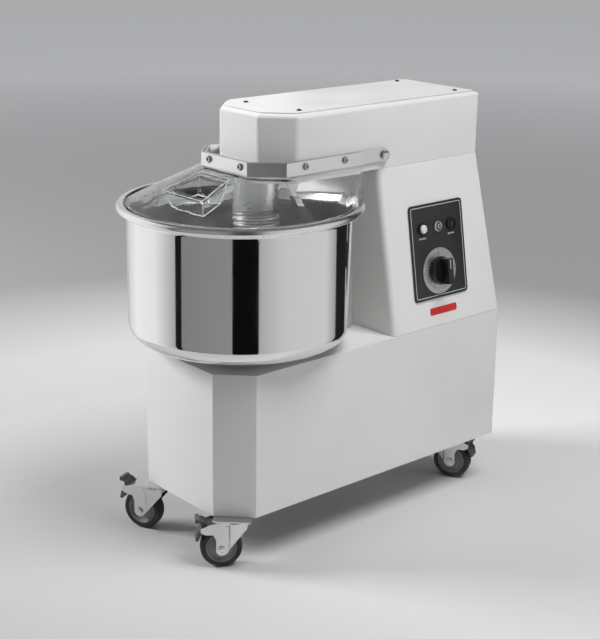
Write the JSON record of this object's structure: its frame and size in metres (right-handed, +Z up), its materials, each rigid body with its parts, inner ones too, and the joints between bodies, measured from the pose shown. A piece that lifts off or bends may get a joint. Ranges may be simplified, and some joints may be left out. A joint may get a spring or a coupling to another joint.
{
  "type": "spiral dough mixer",
  "caption": "Floor-standing spiral dough mixer on braked castors, with turning bowl, spiral hook, lifting clear guard with hopper, timer panel and chain drive.",
  "frame": {"origin": "on the floor, at the middle of the overall width and depth", "axes": "+X towards the control panel side, -Y towards the bowl end, +Z up; millimetre source, metre record"},
  "size_m": [0.3916, 0.6734, 0.7052],
  "materials": {
    "white_powder_coat": "satin fine texture powder coat",
    "polished_stainless": "mirror polished stainless steel",
    "satin_stainless": "brushed",
    "zinc_plate": "bright zinc plate",
    "cast_housing": "painted casting",
    "motor_paint": "satin",
    "bright_steel": "ground steel",
    "chain_steel": "oiled steel",
    "clear_guard": "clear polycarbonate",
    "panel_black": "matt black film on plate",
    "button_white": "gloss",
    "knob_black": "satin",
    "lamp_lens": "gloss",
    "dial_silver": "spun aluminium",
    "tyre_rubber": "rubber",
    "wheel_core": "satin",
    "pedal_plastic": "satin",
    "gland_plastic": "matt"
  },
  "bodies": {
    "machine_frame": {"base_shell": "white_powder_coat", "column_shell": "white_powder_coat", "head_shell": "white_powder_coat", "head_cover": "white_powder_coat", "base_rear_panel": "white_powder_coat", "column_rear_panel": "white_powder_coat", "bowl_bearing_housing": "cast_housing", "lower_chain": "chain_steel", "upper_chain": "chain_steel", "gearbox_housing": "cast_housing", "motor_body": "motor_paint", "motor_fan_cowl": "motor_paint", "spindle_bearing_housing": "cast_housing", "head_collar": "satin_stainless", "breaker_bar": "polished_stainless", "guard_pivot_left": "zinc_plate", "guard_pivot_right": "zinc_plate", "control_panel": "panel_black", "indicator_lamp": "lamp_lens", "timer_dial": "dial_silver", "cable_gland": "gland_plastic", "front_right_plate": "zinc_plate", "front_left_plate": "zinc_plate", "rear_right_plate": "zinc_plate", "rear_left_plate": "zinc_plate"},
    "bowl_drive": {"bowl": "polished_stainless", "bowl_hub": "cast_housing", "bowl_sprocket": "bright_steel"},
    "hook_drive": {"spindle": "satin_stainless", "spindle_sprocket": "bright_steel", "spiral_hook": "polished_stainless"},
    "shaft_drive": {"main_shaft": "bright_steel", "lower_drive_sprocket": "bright_steel", "upper_drive_sprocket": "bright_steel", "worm_wheel": "bright_steel"},
    "motor_rotor": {"motor_shaft": "bright_steel"},
    "guard": {"guard_bracket": "satin_stainless", "guard_clamp_strip": "satin_stainless", "guard_dome": "clear_guard"},
    "start_key": {"start_button": "button_white"},
    "stop_key": {"stop_button": "knob_black"},
    "timer_key": {"timer_knob": "knob_black"},
    "front_right_swivel": {"front_right_fork": "zinc_plate"},
    "front_right_wheel": {"front_right_core": "wheel_core", "front_right_tyre": "tyre_rubber"},
    "front_right_brake": {"front_right_pedal": "pedal_plastic"},
    "front_left_swivel": {"front_left_fork": "zinc_plate"},
    "front_left_wheel": {"front_left_core": "wheel_core", "front_left_tyre": "tyre_rubber"},
    "front_left_brake": {"front_left_pedal": "pedal_plastic"},
    "rear_right_swivel": {"rear_right_fork": "zinc_plate"},
    "rear_right_wheel": {"rear_right_core": "wheel_core", "rear_right_tyre": "tyre_rubber"},
    "rear_right_brake": {"rear_right_pedal": "pedal_plastic"},
    "rear_left_swivel": {"rear_left_fork": "zinc_plate"},
    "rear_left_wheel": {"rear_left_core": "wheel_core", "rear_left_tyre": "tyre_rubber"},
    "rear_left_brake": {"rear_left_pedal": "pedal_plastic"}
  },
  "joints": [
    {"name": "bowl_spin", "type": "hinge", "parent": "machine_frame", "child": "bowl_drive", "pos_m": [0, -0.1407, 0.339], "axis": [0, 0, 1], "continuous": true},
    {"name": "shaft_spin", "type": "hinge", "parent": "machine_frame", "child": "shaft_drive", "pos_m": [0, 0.15, 0.3], "axis": [0, 0, 1], "continuous": true},
    {"name": "hook_spin", "type": "hinge", "parent": "machine_frame", "child": "hook_drive", "pos_m": [0, -0.109, 0.5], "axis": [0, 0, 1], "continuous": true},
    {"name": "rotor_spin", "type": "hinge", "parent": "machine_frame", "child": "motor_rotor", "pos_m": [0.045, 0.1, 0.174], "axis": [0, 1, 0], "continuous": true},
    {"name": "guard_hinge", "type": "hinge", "parent": "machine_frame", "child": "guard", "pos_m": [0, 0.08, 0.6205], "axis": [-1, 0, 0], "range_deg": [0, 60]},
    {"name": "start_press", "type": "slide", "parent": "machine_frame", "child": "start_key", "axis": [-0.9873, 0, -0.1588], "range_m": [0, 0.002], "stiffness_N_per_m": 400},
    {"name": "stop_press", "type": "slide", "parent": "machine_frame", "child": "stop_key", "axis": [-0.9873, 0, -0.1588], "range_m": [0, 0.002], "stiffness_N_per_m": 400},
    {"name": "timer_turn", "type": "hinge", "parent": "machine_frame", "child": "timer_key", "pos_m": [0.12319, 0.1902, 0.41462], "axis": [-0.9873, 0, -0.1588], "range_deg": [0, 300]},
    {"name": "front_right_swivel_turn", "type": "hinge", "parent": "machine_frame", "child": "front_right_swivel", "pos_m": [0.1, -0.235, 0.078], "axis": [0, 0, 1], "continuous": true},
    {"name": "front_right_roll", "type": "hinge", "parent": "front_right_swivel", "child": "front_right_wheel", "pos_m": [0.08882, -0.25158, 0.0335], "axis": [0.829, -0.5592, 0], "continuous": true},
    {"name": "front_right_brake_press", "type": "hinge", "parent": "front_right_swivel", "child": "front_right_brake", "pos_m": [0.09329, -0.24495, 0.072], "axis": [0.829, -0.5592, 0], "range_deg": [0, 5]},
    {"name": "front_left_swivel_turn", "type": "hinge", "parent": "machine_frame", "child": "front_left_swivel", "pos_m": [-0.084, -0.256, 0.078], "axis": [0, 0, 1], "continuous": true},
    {"name": "front_left_roll", "type": "hinge", "parent": "front_left_swivel", "child": "front_left_wheel", "pos_m": [-0.10227, -0.26413, 0.0335], "axis": [0.4067, -0.9135, 0], "continuous": true},
    {"name": "front_left_brake_press", "type": "hinge", "parent": "front_left_swivel", "child": "front_left_brake", "pos_m": [-0.09496, -0.26088, 0.072], "axis": [0.4067, -0.9135, 0], "range_deg": [0, 5]},
    {"name": "rear_right_swivel_turn", "type": "hinge", "parent": "machine_frame", "child": "rear_right_swivel", "pos_m": [0.067, 0.279, 0.078], "axis": [0, 0, 1], "continuous": true},
    {"name": "rear_right_roll", "type": "hinge", "parent": "rear_right_swivel", "child": "rear_right_wheel", "pos_m": [0.08513, 0.28745, 0.0335], "axis": [-0.4226, 0.9063, 0], "continuous": true},
    {"name": "rear_right_brake_press", "type": "hinge", "parent": "rear_right_swivel", "child": "rear_right_brake", "pos_m": [0.07788, 0.28407, 0.072], "axis": [-0.4226, 0.9063, 0], "range_deg": [0, 5]},
    {"name": "rear_left_swivel_turn", "type": "hinge", "parent": "machine_frame", "child": "rear_left_swivel", "pos_m": [-0.08, 0.268, 0.078], "axis": [0, 0, 1], "continuous": true},
    {"name": "rear_left_roll", "type": "hinge", "parent": "rear_left_swivel", "child": "rear_left_wheel", "pos_m": [-0.08939, 0.28566, 0.0335], "axis": [-0.8829, -0.4695, 0], "continuous": true},
    {"name": "rear_left_brake_press", "type": "hinge", "parent": "rear_left_swivel", "child": "rear_left_brake", "pos_m": [-0.08563, 0.2786, 0.072], "axis": [-0.8829, -0.4695, 0], "range_deg": [0, 5]}
  ],
  "couplings": [
    {"joint": "shaft_spin", "follows": "bowl_spin", "ratio": 4.6667},
    {"joint": "hook_spin", "follows": "bowl_spin", "ratio": 8.6154}
  ]
}
